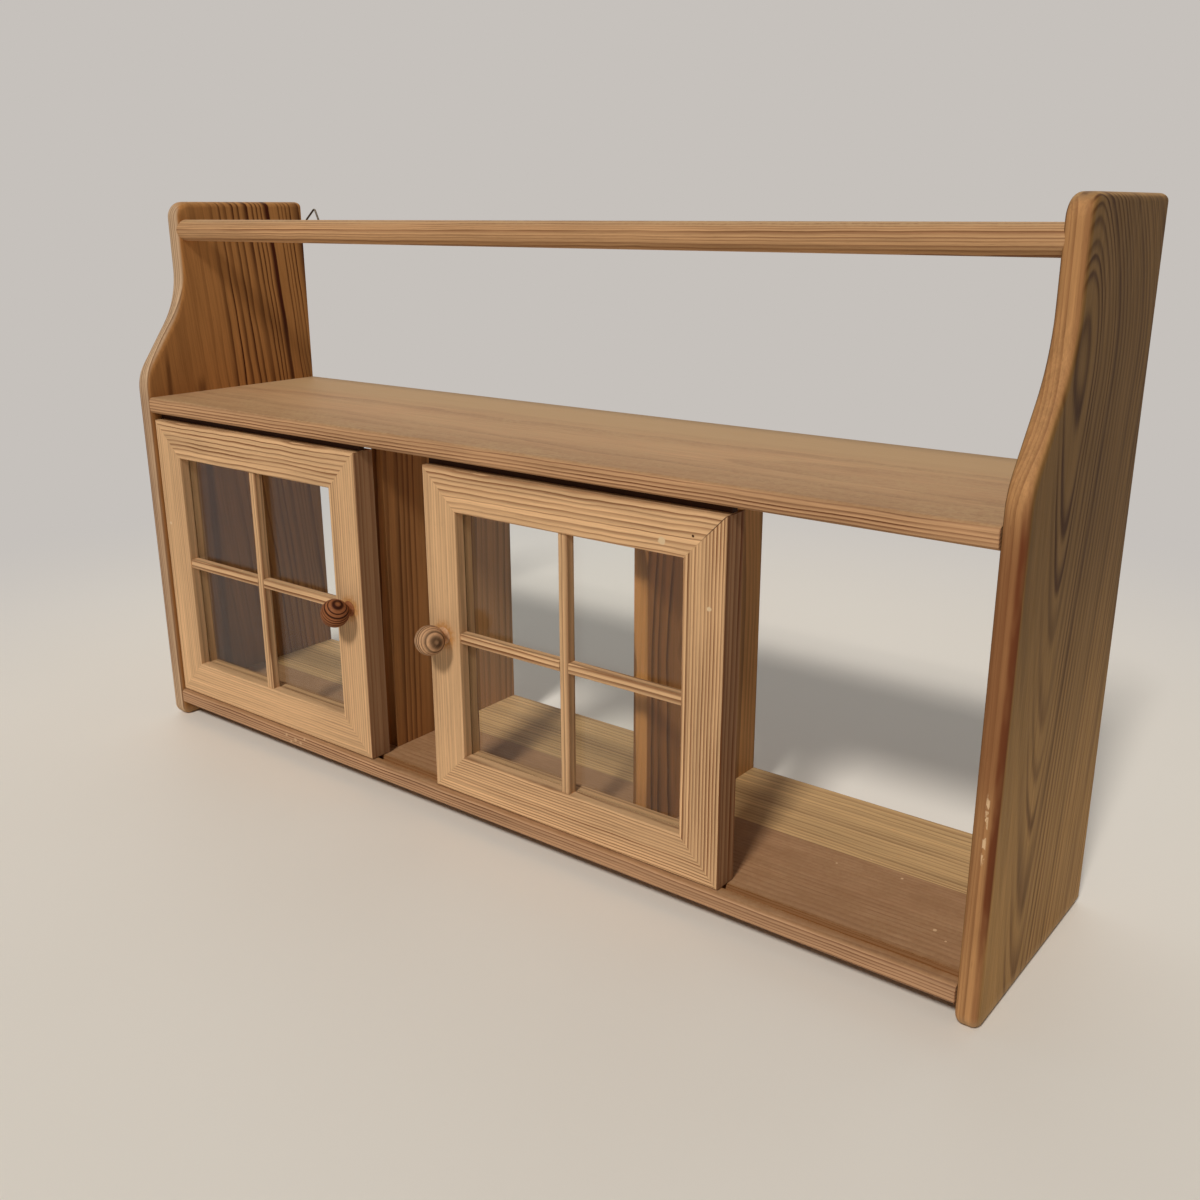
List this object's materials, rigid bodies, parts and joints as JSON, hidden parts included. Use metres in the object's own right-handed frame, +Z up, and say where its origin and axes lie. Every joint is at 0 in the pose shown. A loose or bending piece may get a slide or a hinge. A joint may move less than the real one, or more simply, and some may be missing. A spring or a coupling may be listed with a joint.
{
  "type": "wall cabinet",
  "caption": "Pine wall cabinet with curved gables, an open ledge under a dowel rail, divided bays and sliding glazed doors.",
  "frame": {"origin": "on the surface that the cabinet stands on, below the middle of its bounding box", "axes": "+X to the right along the front, +Y towards the wall, +Z up"},
  "size_m": [0.8, 0.211, 0.47],
  "materials": {
    "pine_carcass": "satin",
    "pine_door": "satin",
    "clear_glass": "clear",
    "steel": "dull"
  },
  "bodies": {
    "carcass": {"left_gable": "pine_carcass", "right_gable": "pine_carcass", "top_rail": "pine_carcass", "middle_shelf": "pine_carcass", "bottom_shelf": "pine_carcass", "left_divider": "pine_carcass", "right_divider": "pine_carcass", "shelf_dowels": "pine_carcass", "divider_dowels": "pine_carcass", "left_hanger_strap": "steel", "left_hanger_screw": "steel", "right_hanger_strap": "steel", "right_hanger_screw": "steel"},
    "left_door": {"left_door_top_rail": "pine_door", "left_door_bottom_rail": "pine_door", "left_door_left_stile": "pine_door", "left_door_right_stile": "pine_door", "left_door_upright_bar": "pine_door", "left_door_cross_bar": "pine_door", "left_door_pane": "clear_glass", "left_door_beads": "pine_door", "left_door_knob": "pine_door", "left_door_mitre_tongues": "pine_door", "left_door_guide_pins": "pine_door"},
    "right_door": {"right_door_top_rail": "pine_door", "right_door_bottom_rail": "pine_door", "right_door_left_stile": "pine_door", "right_door_right_stile": "pine_door", "right_door_upright_bar": "pine_door", "right_door_cross_bar": "pine_door", "right_door_pane": "clear_glass", "right_door_beads": "pine_door", "right_door_knob": "pine_door", "right_door_mitre_tongues": "pine_door", "right_door_guide_pins": "pine_door"},
    "left_ring": {"left_hanger_ring": "steel"},
    "right_ring": {"right_hanger_ring": "steel"}
  },
  "joints": [
    {"name": "left_door_slide", "type": "slide", "parent": "carcass", "child": "left_door", "axis": [1, 0, 0], "range_m": [0, 0.0375]},
    {"name": "right_door_slide", "type": "slide", "parent": "carcass", "child": "right_door", "axis": [1, 0, 0], "range_m": [-0.0375, 0.1675]},
    {"name": "left_ring_pivot", "type": "hinge", "parent": "carcass", "child": "left_ring", "pos_m": [-0.3701, 0.10375, 0.4492], "axis": [-0.9736, 0, 0.2284], "range_deg": [-80, 150]},
    {"name": "right_ring_pivot", "type": "hinge", "parent": "carcass", "child": "right_ring", "pos_m": [0.3701, 0.10375, 0.4492], "axis": [-0.9736, 0, -0.2284], "range_deg": [-80, 150]}
  ]
}
